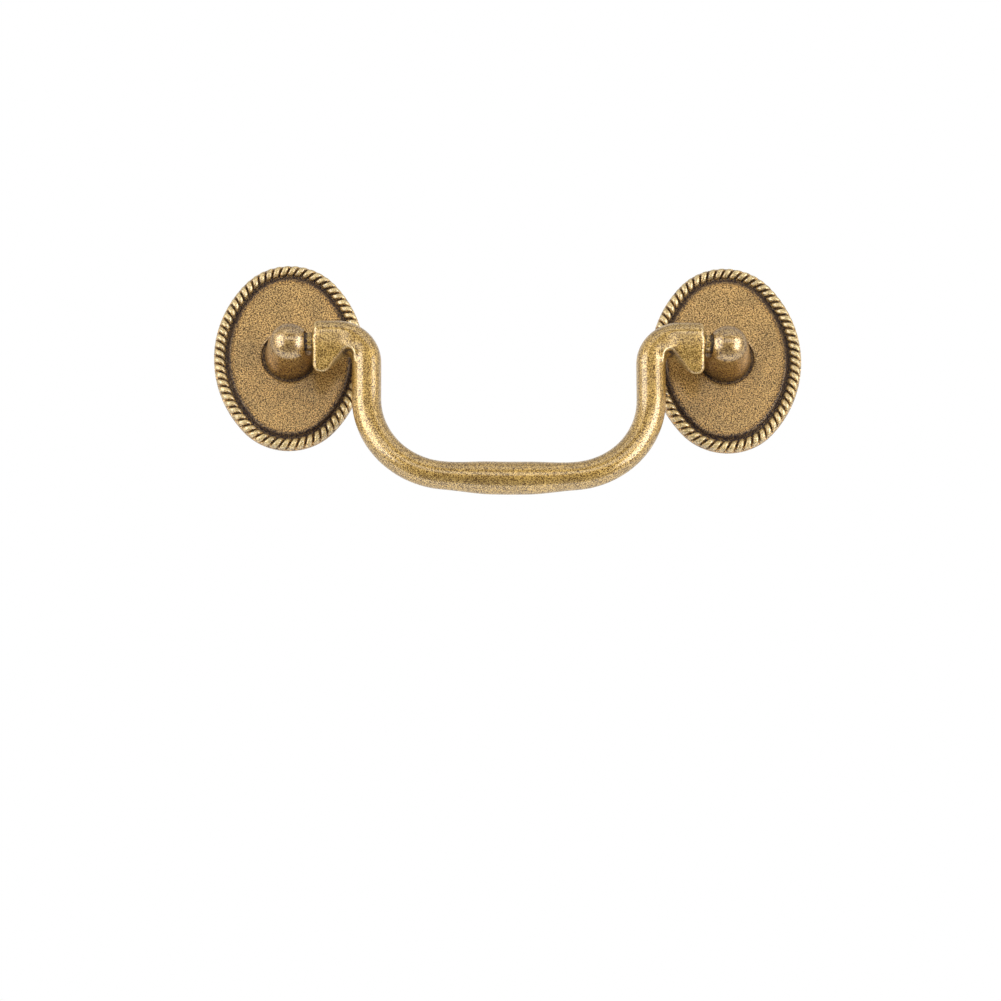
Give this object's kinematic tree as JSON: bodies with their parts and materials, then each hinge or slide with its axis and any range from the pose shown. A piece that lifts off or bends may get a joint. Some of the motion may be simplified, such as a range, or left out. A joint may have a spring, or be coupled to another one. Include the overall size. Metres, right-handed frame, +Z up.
{
  "type": "bail pull",
  "caption": "Swinging bail handle on domed posts, each post standing on an oval rosette with a roped rim.",
  "frame": {"origin": "on the drawer front, midway between the two fixing screws", "axes": "+Z up; +X from the left post to the right post; the handle stands out towards -Y and the screws come from +Y"},
  "size_m": [0.1024, 0.0105, 0.0457],
  "materials": {
    "rosette_brass": "aged and speckled, satin, dark in the grooves",
    "post_brass": "aged, satin",
    "bail_brass": "aged, rubbed bright by the hand"
  },
  "bodies": {
    "base": {"rosette_left": "rosette_brass", "rosette_right": "rosette_brass", "post_left": "post_brass", "post_right": "post_brass"},
    "bail": {"bail": "bail_brass"}
  },
  "joints": [
    {"name": "bail_swing", "type": "hinge", "parent": "base", "child": "bail", "pos_m": [0, -0.0076, 0], "axis": [-1, 0, 0], "range_deg": [-10, 190]}
  ]
}
